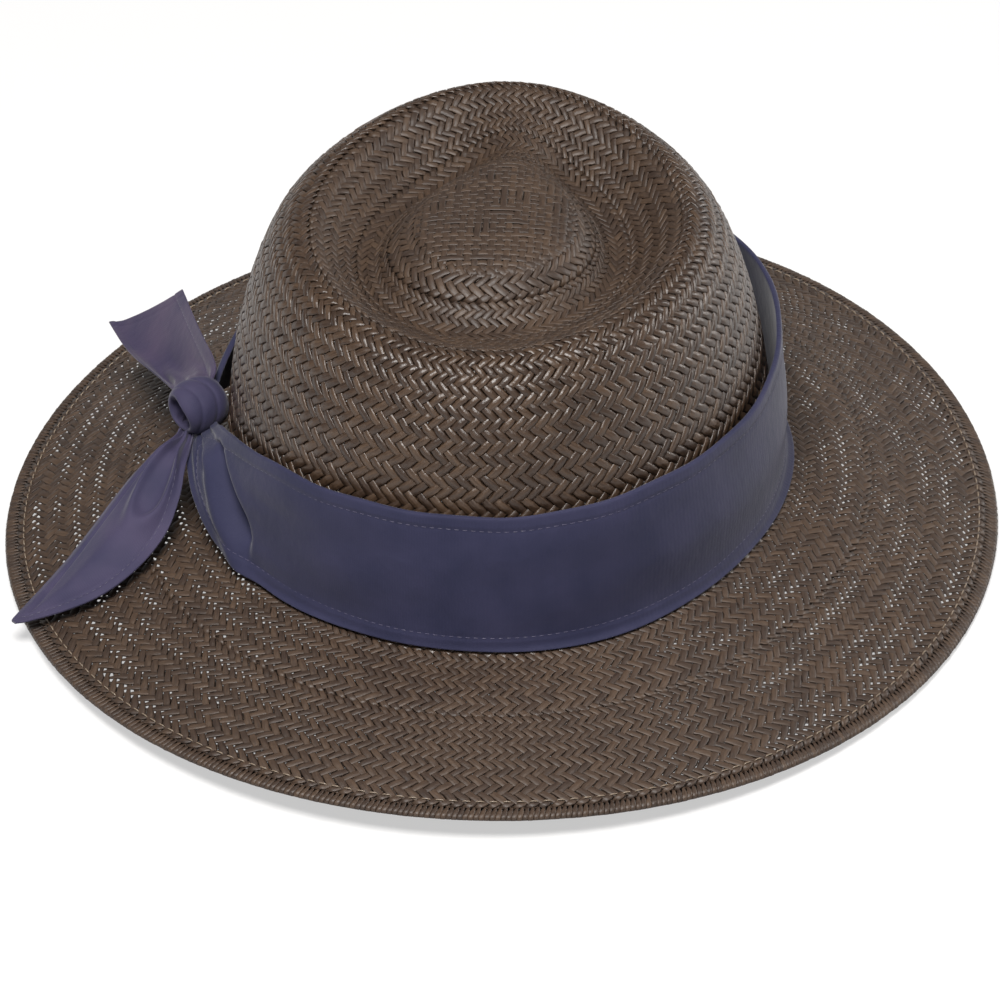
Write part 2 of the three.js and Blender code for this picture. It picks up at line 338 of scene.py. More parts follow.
def woven_ring(ring, rng):
    """One ring of weave. Half the strands lean each way round the hat, and they cross at every step."""
    path = ring_path(ring.start, ring.end)
    girth = ring_girth(path[1])
    # a row is as high as its columns are wide, so the steps grow with the hat's girth
    beats = np.diff(path[0]) * 4 * ring.columns / ring.row / (girth[1:] + girth[:-1])
    beats = np.concatenate([[0], np.cumsum(beats)])
    steps = 2 * int(beats[-1] / 2) + 1
    marks = np.interp(np.arange(steps + 1) * beats[-1] / steps, beats, path[0])
    count = 2 * ring.columns
    mesh, strand, step, corner = strand_bundle(ring.piece, count, steps)
    hand = np.where(strand % 2 == 0, 1, -1)
    column_width = (np.interp(marks, path[0], girth) / ring.columns)[step]
    row = column_width * ring.row
    diagonal = np.hypot(column_width, row)
    half = column_width * row / diagonal / 2
    column = strand // 2 - hand * step / 2
    over = (hand > 0) == (step % 4 < 2)

    loose = rng.normal(0, 1, (5, count, steps + 1))[:, strand, step]
    full = np.where(over, 1.1, 0.92) + 0.05 * loose[0]
    full = full - openwork(ring, column, step, loose[1], rng)
    lift = LIFT * ring.thick
    height = np.where(over, lift, -lift) + 0.12 * ring.thick * loose[2]
    # the first steps lie under the ring before, and the ends of the last one are pressed down
    height = np.where(step < 2, height - 2.2 * ring.thick, height)
    height = np.where(step == steps, height - 0.8 * ring.thick, height)
    reach = half * full * ACROSS[corner]
    column = column + reach * row / diagonal / column_width + 0.03 * loose[3]
    along = marks[step] + hand * reach * column_width / diagonal + 0.1 * loose[4]
    along = np.clip(along, 0, path[0][-1])
    roll = 0.25 * ring.thick * rng.normal(0, 1, (count, steps + 1))[strand, step]
    height = height + (UPWARD[corner] + roll * ACROSS[corner]) * ring.thick
    height = height - lift - 0.5 * ring.thick - CLEARANCE
    place_points(mesh, wrap_ring(path, ring.columns, column, along, height))
    finish_mesh(mesh)
    beat = (step - np.where(hand > 0, 0.5, 2.5)) / 4
    mark_strands(mesh, strand, step, corner, beat, rng)
    return mesh


def folded_hem(rng):
    """The strands' ends at the brim's edge, laid close together and folded under."""
    path = ring_path(HEM.start, HEM.end, HEM.under)
    steps = int(round(path[0][-1] / HEM.step))
    spacing = path[0][-1] / steps
    mesh, strand, step, corner = strand_bundle("brim_hem_straw", HEM.columns, steps)
    along = step * spacing
    loose = rng.normal(0, 1, (2, HEM.columns, steps + 1))[:, strand, step]
    # the strands taper where they come up through the weave, which leaves short slits between them
    risen = np.clip(along / 2.6, 0, 1)
    full = 0.42 + 0.78 * risen**1.5 + 0.04 * loose[0]
    height = -0.5 * (1 - risen) ** 2 + 0.04 * loose[1] - HEM.thick / 2 - CLEARANCE
    lean = HEM.lean * (1 - np.clip(along / path[0][-1] * 2, 0, 1))
    column = strand + lean + ACROSS[corner] * full / 2
    height = height + UPWARD[corner] * HEM.thick
    place_points(mesh, wrap_ring(path, HEM.columns, column, along, height))
    finish_mesh(mesh)
    mark_strands(mesh, strand, step, corner, np.zeros(len(step)), rng)
    return mesh


PATCH_REACH = (25.0, 33.0)  # half width and half length of the plain weave in the middle of the tip
PATCH_BACK = 3.5  # how far its middle lies towards the back
PATCH_SPACING = 2.3
PATCH_THICKNESS = 0.3
PATCH_LIFT = 0.13  # how far a strand rises and sinks
PATCH_SLIPS = 0.05  # share of the crossings that are woven the wrong way up


def tip_place(x, y):
    """The place and angle on the tip under a point seen from above, by halving."""
    angle = np.arctan2(y, x)
    for _ in range(5):
        near, far = np.zeros(x.shape), np.full(x.shape, 3.0)
        for _ in range(22):
            middle = (near + far) / 2
            point = hat_surface(middle, angle)
            beyond = np.hypot(point[..., 0], point[..., 1]) > np.hypot(x, y)
            far = np.where(beyond, middle, far)
            near = np.where(beyond, near, middle)
        point = hat_surface(near, angle)
        angle = angle + np.arctan2(y, x) - np.arctan2(point[..., 1], point[..., 0])
    return middle, angle


def plain_patch(rng):
    """The plain weave that the hat is begun with, over one and under one."""
    half_counts = [int(reach / PATCH_SPACING) for reach in PATCH_REACH]
    slips = rng.random([2 * n + 1 for n in half_counts]) < PATCH_SLIPS
    meshes = []
    for lengthwise in (True, False):
        strands = 2 * half_counts[0 if lengthwise else 1] + 1
        steps = 2 * half_counts[1 if lengthwise else 0]
        mesh, strand, step, corner = strand_bundle("crown_tip_straw", strands, steps)
        side = (strand - strands // 2) * PATCH_SPACING
        limit = PATCH_REACH[1 if lengthwise else 0]
        share = np.sqrt(np.clip(1 - (side / PATCH_REACH[0 if lengthwise else 1]) ** 2, 0.02, 1))
        forward = (step - steps / 2) * PATCH_SPACING
        level = (strand + step + half_counts[0] + half_counts[1]) % 2
        slipped = slips[strand, step] if lengthwise else slips[step, strand]
        over = ((level == 0) != slipped) == lengthwise
        loose = rng.normal(0, 1, (3, strands, steps + 1))[:, strand, step]
        reach = PATCH_SPACING / 2 * (1.0 + 0.05 * loose[0]) * ACROSS[corner]
        forward = np.clip(forward, -limit * share, limit * share)
        side = side + reach + 0.08 * loose[1]
        x, y = (side, forward) if lengthwise else (forward, side)
        place, angle = tip_place(x, y + PATCH_BACK)
        height = np.where(over, PATCH_LIFT, -PATCH_LIFT) + UPWARD[corner] * PATCH_THICKNESS
        height = height + 0.03 * loose[2]
        depth = PATCH_LIFT + PATCH_THICKNESS / 2 + CLEARANCE
        points = hat_surface(place, angle) + hat_normal(place, angle) * (height - depth)[:, None]
        place_points(mesh, points)
        finish_mesh(mesh)
        mark_strands(mesh, strand, step, corner, np.where(over, 0.0, 0.5), rng)
        meshes.append(mesh)
    return meshes


def stitches(name, line, facing, pitch, length, thickness, closed=False):
    """Short threads that lie end to end on a line, their ends sunk into what they hold."""
    if closed:
        line, facing = np.vstack([line, line[:1]]), np.vstack([facing, facing[:1]])
    gone = np.concatenate([[0], np.cumsum(np.linalg.norm(np.diff(line, axis=0), axis=1))])
    count = int(gone[-1] / pitch)
    mesh, strand, step, corner = strand_bundle(name, count, 6)
    spread = step / 3 - 1
    at = (strand + 0.5) * gone[-1] / count + spread * length / 2

    def on_line(values, distance):
        return np.stack([np.interp(distance, gone, values[:, k]) for k in range(3)], axis=-1)

    point = on_line(line, at)
    ahead = on_line(line, at + 0.4) - on_line(line, at - 0.4)
    up = unit(on_line(facing, at))
    side = unit(np.cross(unit(ahead), up))
    size = thickness * (1 - 0.5 * spread**4)
    turned = TURN * corner / 4
    point = point + up * (thickness * (0.35 - 0.75 * spread**4))[:, None]
    point = point + side * (size * np.cos(turned) / 2)[:, None] + up * (size * np.sin(turned) / 2)[:, None]
    place_points(mesh, point)
    finish_mesh(mesh)
    mark_strands(mesh, strand, step, corner, np.zeros(len(step)), np.random.default_rng(1))
    return mesh


HEM_STITCH_PLACE = 13.69  # between 5 and 6 mm in from the edge
HEM_STITCH_SHARE = 0.68  # of its pitch that a stitch shows for
HEM_STITCH_THICKNESS = 0.5
HEM_STITCH_RISE = 0.05  # above the straw


def hem_stitches(pitch):
    """The thread that holds the folded hem."""
    angles = np.linspace(0, TURN, 1200, endpoint=False)
    place = np.full(angles.shape, HEM_STITCH_PLACE)
    normal = hat_normal(place, angles)
    line = hat_surface(place, angles) + normal * HEM_STITCH_RISE
    length = HEM_STITCH_SHARE * pitch
    return stitches("brim_stitches", line, normal, pitch, length, HEM_STITCH_THICKNESS, closed=True)


def join_meshes(name, meshes):
    """One mesh from several, their bake maps set side by side."""
    bm = bmesh.new()
    for k, mesh in enumerate(meshes):
        uv = mesh.uv_layers["OFBake"]
        corners = np.zeros(len(mesh.loops) * 2, dtype=np.float32)
        uv.data.foreach_get("uv", corners)
        corners[0::2] = (corners[0::2] + k) / len(meshes)
        uv.data.foreach_set("uv", corners)
        bm.from_mesh(mesh)
    piece = object_from(name, bm)
    for mesh in meshes:
        bpy.data.meshes.remove(mesh)
    return piece


# ---- Cloth -----------------------------------------------------------------


def cloth_grid(name, lengthwise, round_about, size, shape):
    """A closed sheet of quads placed by shape(s, t), s along it and t round it, both 0 to 1. size: its
    length and its girth in mm, for the cloth map."""
    bm = bmesh.new()
    bmesh.ops.create_grid(bm, x_segments=lengthwise, y_segments=round_about, size=0.5)
    corners = np.array([v.co[:2] for v in bm.verts]) + 0.5
    for vertex, point in zip(bm.verts, shape(corners[:, 0], corners[:, 1])):
        vertex.co = point
    cloth = bm.loops.layers.uv.new("cloth")
    rest = bm.loops.layers.uv.new("OFBake")
    bm.verts.index_update()
    for face in bm.faces:
        for loop in face.loops:
            at = corners[loop.vert.index]
            loop[cloth].uv = at * size
            loop[rest].uv = at
    bmesh.ops.remove_doubles(bm, verts=bm.verts, dist=1e-4)
    rims = [e for e in bm.edges if e.is_boundary]
    bmesh.ops.holes_fill(bm, edges=rims, sides=0)
    piece = object_from(name, bm)
    points = np.zeros(len(piece.data.vertices) * 3, dtype=np.float32)
    piece.data.vertices.foreach_get("co", points)
    place_points(piece.data, points.reshape(-1, 3).astype(float))
    finish_mesh(piece.data)
    return piece


def smooth_step(value, low, high):
    f = np.clip((value - low) / (high - low), 0, 1)
    return f * f * (3 - 2 * f)


def hump(value, middle, width):
    """A smooth bump of height 1 round a middle."""
    return np.exp(-(((value - middle) / width) ** 2))


def round_section(t):
    """Where t lies on the section of a folded cloth: up, 0 to 1 across its face; inside, 0 on the outer
    face and 1 on the inner; bulge, how far round a folded edge. The outer face takes most of t."""
    knots = np.array([0, 0.6, 0.65, 0.95, 1.0])
    up = np.interp(t, knots, [0, 1, 1, 0, 0])
    fold_up = np.clip((t - knots[1]) / (knots[2] - knots[1]), 0, 1)
    fold_down = np.clip((t - knots[3]) / (knots[4] - knots[3]), 0, 1)
    inside = (1 - np.cos(np.pi * fold_up)) / 2 * (1 - (1 - np.cos(np.pi * fold_down)) / 2)
    bulge = np.sin(np.pi * fold_up) - np.sin(np.pi * fold_down)
    return up, inside, bulge


def seam(distance, hem, height=0.2):
    """The relief of a sewn hem at a distance from a cloth's edge: double cloth, then a pucker."""
    return height * (1 - smooth_step(distance, hem, hem + 0.7) - 1.3 * hump(distance, hem + 0.4, 0.45))


# Each row is one place along the band, from the knot's back side round behind the hat to its front side.
# angle: degrees from the wearer's left towards the back. low, high: heights of its edges. low_out,
# high_out: how far its outer face stands off the crown there.

BandPlace = namedtuple("BandPlace", "angle low high low_out high_out")
BAND = [
    BandPlace(8, 16.5, 21, 9.5, 5.5),
    BandPlace(12.8, 16.5, 23.5, 12, 4.5),
    BandPlace(17, 14.6, 27.5, 13, 4.5),
    BandPlace(22, 10.4, 30.8, 13.2, 4.8),
    BandPlace(28, 5.6, 34.2, 11.8, 4.8),
    BandPlace(35, 2.4, 37.4, 8.8, 4.7),
    BandPlace(45, 1.0, 40.5, 5.4, 4.8),
    BandPlace(62, 0.8, 42.5, 3.4, 5.4),
    BandPlace(90, 0.8, 43, 2.6, 4.4),
    BandPlace(135, 0.8, 43, 2.5, 4.6),
    BandPlace(180, 0.9, 43.5, 2.5, 5.8),
    BandPlace(212, 0.9, 44.5, 2.5, 8),
    BandPlace(250, 0.9, 43.5, 2.5, 6),
    BandPlace(290, 0.9, 42.5, 2.4, 2.6),
    BandPlace(322, 1.1, 38.5, 2.6, 2),
    BandPlace(337, 3.5, 33, 4.6, 2),
    BandPlace(349, 8.8, 29, 7.4, 2.4),
    BandPlace(362.5, 17.3, 28, 9.2, 4.4),
    BandPlace(367, 19.2, 27.5, 8.8, 5.4),
]
BAND_THICKNESS = 1.3
BAND_HEM = 3.2  # width of its sewn hems
BAND_STITCH_INSET = 3.6  # from its edge to the thread


def band_relief(degrees, up, height):
    """How far the band's outer face bows, wrinkles and folds out of line."""
    settled = smooth_step(degrees, 25, 60) * (1 - smooth_step(degrees, 320, 345))
    relief = 0.6 * np.sin(np.pi * up) * settled
    # long shallow wrinkles run with the band, and shorter ones across it
    relief += 0.3 * np.sin(5.0 * up + 0.035 * degrees + 1.1 * np.sin(0.05 * degrees)) * np.sin(np.pi * up)
    relief += 0.16 * np.sin(12.0 * up - 0.06 * degrees + 2.0 * np.sin(0.031 * degrees + 1))
    relief += 0.14 * np.sin(0.23 * degrees + 7 * up) * np.sin(0.057 * degrees + 2 * up + 0.6)
    # the knot pulls pleats out of both ends: a roll along the low edge, a deep fold and fine gathers
    start = hump(np.maximum(degrees - 14, 0), 0, 26)
    fold_line = 0.62 - 0.0315 * (degrees - 24)
    fold_open = smooth_step(degrees, 20, 27) * (1 - smooth_step(degrees, 34, 40))
    relief -= 8.0 * hump(up, fold_line + 0.07, 0.1) * fold_open
    roll_shown = smooth_step(degrees, 14, 24) * (1 - smooth_step(degrees, 38, 50))
    relief += 2.0 * hump(up, fold_line - 0.19, 0.12) * roll_shown
    relief += 0.5 * hump(up, fold_line + 0.26, 0.08) * fold_open
    gathers = np.cos(TURN * 3.2 * up + 0.05 * degrees) + 0.5 * np.cos(TURN * 5.5 * up - 0.04 * degrees + 1)
    relief += 0.3 * gathers * start * (1 - 0.6 * fold_open)
    finish = hump(np.maximum(362 - degrees, 0), 0, 24)
    relief += 0.5 * np.cos(TURN * 2.7 * up + 0.06 * degrees) * finish
    edge = np.minimum(up, 1 - up) * height
    return relief + seam(edge, BAND_HEM)


def band_face(s, up):
    """Where the band's outer face lies, s along it and up across it, both 0 to 1: the degrees and the
    height there, how far it stands off the crown, and how tall the whole band is there."""
    place = s * (len(BAND) - 1)
    degrees = along_rows(BAND, "angle", place)
    low, high = along_rows(BAND, "low", place), along_rows(BAND, "high", place)
    low_out, high_out = along_rows(BAND, "low_out", place), along_rows(BAND, "high_out", place)
    # the edges wander a little
    low = low + 0.3 * np.sin(0.09 * degrees + 1) * smooth_step(degrees, 40, 70)
    high = high + 0.35 * np.sin(0.11 * degrees) + 0.2 * np.sin(0.31 * degrees)
    out = low_out + (high_out - low_out) * up
    return degrees, low + (high - low) * up, out, high - low


def band_shape(s, t):
    up, inside, bulge = round_section(t)
    degrees, height, out, reach = band_face(s, up)
    out = out + band_relief(degrees, up, reach) * (1 - inside)
    height = height + bulge * BAND_THICKNESS * 0.35
    deep = inside * (BAND_THICKNESS + 7.0 * hump(degrees, 29, 10) * np.sin(np.pi * up))
    return off_wall(height, np.radians(degrees), out - deep)


def band_stitches():
    """Rows of thread inside both of the band's edges."""
    s = np.linspace(0.06, 0.985, 1500)
    meshes = []
    for low_edge in (True, False):
        reach = band_face(s, np.zeros(s.shape))[3]
        inset = BAND_STITCH_INSET / reach
        up = inset if low_edge else 1 - inset
        degrees, height, out, _ = band_face(s, up)
        out = out + band_relief(degrees, up, reach)
        line = off_wall(height, np.radians(degrees), out)
        away = unit(off_wall(height, np.radians(degrees), out + 1) - line)
        meshes.append(stitches("band_stitches", line, away, pitch=2.4, length=1.7, thickness=0.2))
    return meshes


# Each row is one place along an end of the scarf, from the knot outwards. lx, ly, lz and rx, ry, rz: its
# left and right edges, seen from above with the knot behind. belly: how far the cloth between them bows up.

TailPlace = namedtuple("TailPlace", "lx ly lz rx ry rz belly")
UPPER_TAIL = [
    TailPlace(94.5, 12, 25.5, 87.5, 12, 30.5, 0),
    TailPlace(98.4, 5.0, 24, 86, 5.2, 32.4, 1),
    TailPlace(104.4, -8.1, 20.5, 87.4, -1.5, 33.2, -2),
    TailPlace(113.2, -25.1, 15.5, 90.6, -10.5, 33, -5),
    TailPlace(120.4, -43, 10.5, 95, -24, 32, -4),
    TailPlace(127.2, -62.9, 6, 101.6, -46, 30, -1.5),
]
LOWER_TAIL = [
    TailPlace(91.5, 15, 23, 95.5, 14, 22, 0),
    TailPlace(91.8, 22, 17.9, 97.2, 19, 17.9, 1),
    TailPlace(92.9, 34, 16, 103.4, 26.4, 15.4, 4),
    TailPlace(94.2, 42, 10.5, 110.3, 30.8, 9.4, 5.5),
    TailPlace(97.8, 50.2, 3.4, 116.9, 35.1, 2.2, 5.5),
    TailPlace(104.7, 60.8, -1.4, 122.5, 41.5, -3, 5),
    TailPlace(114.4, 69.8, -5.6, 128.3, 50.5, -7.2, 3.5),
    TailPlace(126.1, 74.0, -9.4, 135.1, 61.4, -10.8, 1.5),
    TailPlace(140.4, 77.2, -12.2, 141.8, 75.2, -12.4, 0),
]
TAIL_THICKNESS = 0.8
UPPER_TAIL_LENGTH = 75  # roughly, to place the hem at its end


def tail_edges(rows, s):
    place = s * (len(rows) - 1)
    left = np.stack([along_rows(rows, k, place) for k in ("lx", "ly", "lz")], axis=-1)
    right = np.stack([along_rows(rows, k, place) for k in ("rx", "ry", "rz")], axis=-1)
    return left, right, along_rows(rows, "belly", place)


def tail_face(rows, relief, s, up):
    """Points of a scarf end's upper face, the direction across it and the way up from it."""
    left, right, belly = tail_edges(rows, s)
    width = np.linalg.norm(right - left, axis=-1)
    across = unit(right - left)
    lift = unit(np.array([0, 0, 1.0]) - across * across[:, 2:3])
    rise = belly * np.sin(np.pi * up) + relief(s, up, width)
    return left + (right - left) * up[:, None] + lift * rise[:, None], across, lift


def tail_shape(rows, relief):
    def shape(s, t):
        up, inside, bulge = round_section(t)
        points, across, lift = tail_face(rows, relief, s, up)
        points = points - lift * (inside * TAIL_THICKNESS)[:, None]
        return points + across * (bulge * TAIL_THICKNESS * 0.3)[:, None]

    return shape


def upper_relief(s, up, width):
    """Pleats that fan out of the knot, soft waves, and hems along three edges."""
    near = hump(s, 0, 0.42)
    pleats = 1.3 * np.cos(TURN * (1.9 * up - 0.25 * s) + 0.4) + 0.5 * np.cos(TURN * 4.2 * up + 2)
    relief = near * pleats
    relief -= 3.2 * hump(up, 0.12 + 0.35 * (s - 0.45), 0.08) * hump(s, 0.44, 0.13)
    relief += 0.9 * hump(up, 0.27 + 0.5 * (s - 0.45), 0.08) * hump(s, 0.5, 0.13)
    relief += 0.5 * np.sin(4 * up + 6 * s) + 1.2 * hump(up, 0, 0.1) * smooth_step(s, 0.35, 0.6)
    relief += seam((1 - up) * width, 4.2, 0.14) + seam(up * width, 2.6, 0.1)
    from_end = (1 - s) * UPPER_TAIL_LENGTH
    return relief + seam(from_end, 3.0, 0.1) * smooth_step(s, 0.5, 0.8)


def lower_relief(s, up, width):
    """A long crease beside the outer hem, a pocket of slack below the knot, and a stitched lower hem."""
    near = hump(s, 0, 0.3)
    relief = near * (0.9 * np.cos(TURN * (2.2 * up + 0.1)) + 0.4 * np.cos(TURN * 4.7 * up + 1))
    # the slack hangs in a loop from the knot, hollow within and rounded at its rim
    widest, loop_end = 0.4, 0.56
    across = (up - 0.37 + 0.12 * (s - widest)) / np.maximum(0.22 * smooth_step(s, 0.0, 0.35), 0.02)
    ahead = np.maximum(s - widest, 0) / (loop_end - widest)
    ring = np.hypot(across, ahead)
    shown = smooth_step(s, 0.08, 0.25)
    relief += shown * (2.3 * hump(ring, 1.0, 0.26) - 2.0 * hump(ring, 0, 0.6))
    relief -= 0.7 * hump(up, 0.2 + 0.5 * (s - 0.7), 0.1) * hump(s, 0.72, 0.12)
    relief += 0.7 * hump(up, 0.45, 0.13) * hump(s, 0.74, 0.2)
    relief += 0.25 * np.sin(9 * s + 5 * up)
    crease = (1 - up) * width
    relief -= 0.8 * hump(crease, 4.6, 0.6) * smooth_step(s, 0.22, 0.4) * (1 - smooth_step(s, 0.9, 0.96))
    relief += 0.4 * hump(crease, 2.2, 1.6)
    return relief + seam(up * width, 2.0) * smooth_step(s, 0.2, 0.3)


def tail_stitches(rows, relief, inset, at_left, start, end):
    """A row of thread along one edge of a scarf end, inset by some mm."""
    s = np.linspace(start, end, 500)
    left, right, _ = tail_edges(rows, s)
    width = np.linalg.norm(right - left, axis=-1)
    up = inset / width
    up = up if at_left else 1 - up
    line, _, lift = tail_face(rows, relief, s, up)
    return stitches("tail_stitches", line, lift, pitch=2.2, length=1.6, thickness=0.18)


# The knot's wrap, as a profile turned round a level axis that points out of the crown and to the back.
# at: along the axis. radius: from it. It rolls in at its outer end, where the scarf's ends come out.

KNOT_MIDDLE = np.array([90.3, 13.8, 25.4])
KNOT_AXIS = np.array([0.74, 0.66, 0.0])
KnotRing = namedtuple("KnotRing", "at radius")
KNOT = [
    KnotRing(-6.6, 0.0),
    KnotRing(-7.4, 3.6),
    KnotRing(-6.8, 6.2),
    KnotRing(-4.2, 7.9),
    KnotRing(-1.0, 8.5),
    KnotRing(2.2, 8.5),
    KnotRing(5.2, 7.9),
    KnotRing(7.2, 6.6),
    KnotRing(7.4, 5.4),
    KnotRing(5.6, 4.7),
    KnotRing(2.8, 4.2),
    KnotRing(0.6, 2.8),
    KnotRing(0.2, 0.0),
]


def knot_shape(s, t):
    place = s * (len(KNOT) - 1)
    turn = TURN * t
    radius = along_rows(KNOT, "radius", place)
    at = along_rows(KNOT, "at", place)
    body = smooth_step(s, 0.08, 0.25) * (1 - smooth_step(s, 0.6, 0.75))
    folds = np.abs(np.sin(0.62 * at + 0.9 * np.sin(turn + 0.7) + 0.5 * np.sin(2 * turn)))
    radius = radius * (1 + 0.06 * np.cos(2 * turn + 0.8)) - 0.4 * (1 - folds) ** 2 * body
    # inside the open end the rolled cloth is pleated lengthwise
    within = smooth_step(s, 0.66, 0.8)
    radius = radius * (1 - 0.16 * within * np.cos(5 * turn + 1)) - 0.4 * within * np.sin(3 * turn)
    radius = np.where(s > 0.999, 0, np.maximum(radius, 0) * (s > 0.001))
    at = at + (0.8 * np.sin(turn + 0.5) + 0.4 * np.sin(2 * turn)) * smooth_step(s, 0.3, 0.6)
    axis = KNOT_AXIS / np.linalg.norm(KNOT_AXIS)
    level = unit(np.cross(np.array([0, 0, 1.0]), axis))
    upright = np.cross(axis, level)
    # it is a little taller than it is wide
    ring = level * np.cos(turn)[:, None] * 0.94 + upright * np.sin(turn)[:, None]
    return KNOT_MIDDLE + axis * at[:, None] + ring * radius[:, None]


# ---- Materials -------------------------------------------------------------


def from_hex(colour):
    """A linear colour from its sRGB hex value."""
    values = [int(colour[k : k + 2], 16) / 255 for k in (1, 3, 5)]
    linear = [v / 12.92 if v <= 0.04045 else ((v + 0.055) / 1.055) ** 2.4 for v in values]
    return tuple(linear)


def add_node(tree, kind, settings=None, values=None, links=None, stops=()):
    """Adds a node with its settings, its sockets' values and what feeds it, where a node stands for its
    first output. stops: the places and colours of a ramp."""
    node = tree.nodes.new(kind)
    for key, value in (settings or {}).items():
        setattr(node, key, value)
    for key, value in (values or {}).items():
        node.inputs[key].default_value = value
    for key, source in (links or {}).items():
        socket = source.outputs[0] if isinstance(source, bpy.types.Node) else source
        tree.links.new(socket, node.inputs[key])
    for _ in stops[2:]:
        node.color_ramp.elements.new(0.5)
    for k, (position, colour) in enumerate(stops):
        node.color_ramp.elements[k].position = position
        node.color_ramp.elements[k].color = (*colour, 1.0)
    return node


def new_material(name, values):
    """A material of one shader, with its sockets' values. Returns it with its node tree and shader."""
    material = bpy.data.materials.new(name)
    material.use_nodes = True
    tree = material.node_tree
    tree.nodes.clear()
    shader = add_node(tree, "ShaderNodeBsdfPrincipled", values=values)
    add_node(tree, "ShaderNodeOutputMaterial", links={"Surface": shader})
    return material, tree, shader


def straw_material(name, settings, plump, gloss):
    """Paper straw: twisted flat from dyed paper and calendered, so each strand is satin along its
    length, with fine lengthwise creases and a slightly different brown from the next; the creases also
    darken the brown, as painted shade. plump: how strongly each float bulges, less where the hat was
    pressed on its block."""
    material, tree, shader = new_material(name, {"IOR": 1.5})
    fibre = add_node(tree, "ShaderNodeUVMap", {"uv_map": "fibre"})
    tint = add_node(tree, "ShaderNodeAttribute", {"attribute_name": "tint"}).outputs["Fac"]
    # creases about 0.3 mm apart across a strand, drawn out ten times along it: they give relief and
    # roughness, and darken the colour as painted shade
    stretch = add_node(tree, "ShaderNodeMapping", values={"Scale": (3.0, 0.3, 1)}, links={"Vector": fibre})
    crease = add_node(
        tree, "ShaderNodeTexNoise", values={"Scale": 1.0, "Detail": 3.0}, links={"Vector": stretch}
    )
    # the colour: each strand's own tint, darkened in the creases as painted shade
    shade = add_node(tree, "ShaderNodeMath", {"operation": "MULTIPLY_ADD"}, {1: 0.35}, {0: tint, 2: crease})
    browns = [(0.3, settings.dark), (0.65, settings.middle), (1.0, settings.light)]
    colour = add_node(tree, "ShaderNodeValToRGB", links={"Fac": shade}, stops=browns)
    roughness = add_node(
        tree, "ShaderNodeMapRange", values={"To Min": gloss, "To Max": gloss + 0.22}, links={"Value": crease}
    )
    # each float is rounded along and across
    across_along = add_node(tree, "ShaderNodeUVMap", {"uv_map": "float"})
    spot = add_node(tree, "ShaderNodeSeparateXYZ", links={"Vector": across_along}).outputs
    turned = add_node(tree, "ShaderNodeMath", {"operation": "MULTIPLY"}, {1: TURN}, {0: spot["Y"]})
    lengthwise = add_node(tree, "ShaderNodeMath", {"operation": "COSINE"}, links={0: turned})
    aside = add_node(tree, "ShaderNodeMath", {"operation": "SUBTRACT"}, {1: 0.5}, {0: spot["X"]})
    squared = add_node(tree, "ShaderNodeMath", {"operation": "MULTIPLY"}, links={0: aside, 1: aside})
    crosswise = add_node(tree, "ShaderNodeMath", {"operation": "MULTIPLY"}, {1: -2.4}, {0: squared})
    rounded = add_node(
        tree, "ShaderNodeMath", {"operation": "MULTIPLY_ADD"}, {1: 0.6}, {0: lengthwise, 2: crosswise}
    )
    # and a little crumpled, every 1.4 mm or so
    place = add_node(tree, "ShaderNodeTexCoord").outputs["Object"]
    crumple = add_node(
        tree, "ShaderNodeTexNoise", values={"Scale": 700.0, "Detail": 2.0}, links={"Vector": place}
    )
    relief = add_node(
        tree, "ShaderNodeMath", {"operation": "MULTIPLY_ADD"}, {1: 1.1}, {0: crumple, 2: rounded}
    )
    coarse = add_node(
        tree,
        "ShaderNodeBump",
        values={"Strength": plump, "Distance": 0.3 * MM},
        links={"Height": relief},
    )
    fine = add_node(
        tree,
        "ShaderNodeBump",
        values={"Strength": 0.3, "Distance": 0.1 * MM},
        links={"Height": crease, "Normal": coarse},
    )
    for key, node in (("Base Color", colour), ("Roughness", roughness), ("Normal", fine)):
        tree.links.new(node.outputs[0], shader.inputs[key])
    return material


def cotton_material(name, dark, light):
    """Brushed cotton, plain-woven and yarn-dyed navy: matte, with a soft sheen at grazing angles, a
    faint thread grid and cloudy unevenness of the dye."""
    sockets = {"Roughness": 0.8, "Sheen Weight": 0.15, "Sheen Roughness": 0.4, "IOR": 1.45}
    material, tree, shader = new_material(name, sockets)
    place = add_node(tree, "ShaderNodeTexCoord").outputs["Object"]
    cloth = add_node(tree, "ShaderNodeUVMap", {"uv_map": "cloth"})
    # the dye's clouds are about 14 mm across
    cloud = add_node(
        tree, "ShaderNodeTexNoise", values={"Scale": 70.0, "Detail": 5.0}, links={"Vector": place}
    )
    colour = add_node(tree, "ShaderNodeValToRGB", links={"Fac": cloud}, stops=[(0.3, dark), (0.7, light)])
    # threads are 0.25 mm apart, drawn 0.6 mm apart so that they show
    threads = []
    for direction in ("X", "Y"):
        wave = add_node(
            tree,
            "ShaderNodeTexWave",
            {"bands_direction": direction},
            {"Scale": 0.5, "Distortion": 1.2, "Detail": 1.0},
            {"Vector": cloth},
        )
        threads.append(wave.outputs["Fac"])
    grid = add_node(tree, "ShaderNodeMath", {"operation": "MULTIPLY"}, links={0: threads[0], 1: threads[1]})
    fine = add_node(
        tree, "ShaderNodeBump", values={"Strength": 0.3, "Distance": 0.1 * MM}, links={"Height": grid}
    )
    # wear has rumpled it every 4 mm or so
    rumple = add_node(
        tree, "ShaderNodeTexNoise", values={"Scale": 260.0, "Detail": 3.0}, links={"Vector": place}
    )
    coarse = add_node(
        tree,
        "ShaderNodeBump",
        values={"Strength": 0.35, "Distance": 0.6 * MM},
        links={"Height": rumple, "Normal": fine},
    )
    for key, node in (("Base Color", colour), ("Normal", coarse)):
        tree.links.new(node.outputs[0], shader.inputs[key])
    return material


def thread_material(name, colour):
    """Sewing thread, polished so that it catches the light."""
    return new_material(name, {"Base Color": (*colour, 1.0), "Roughness": 0.35, "IOR": 1.5})[0]


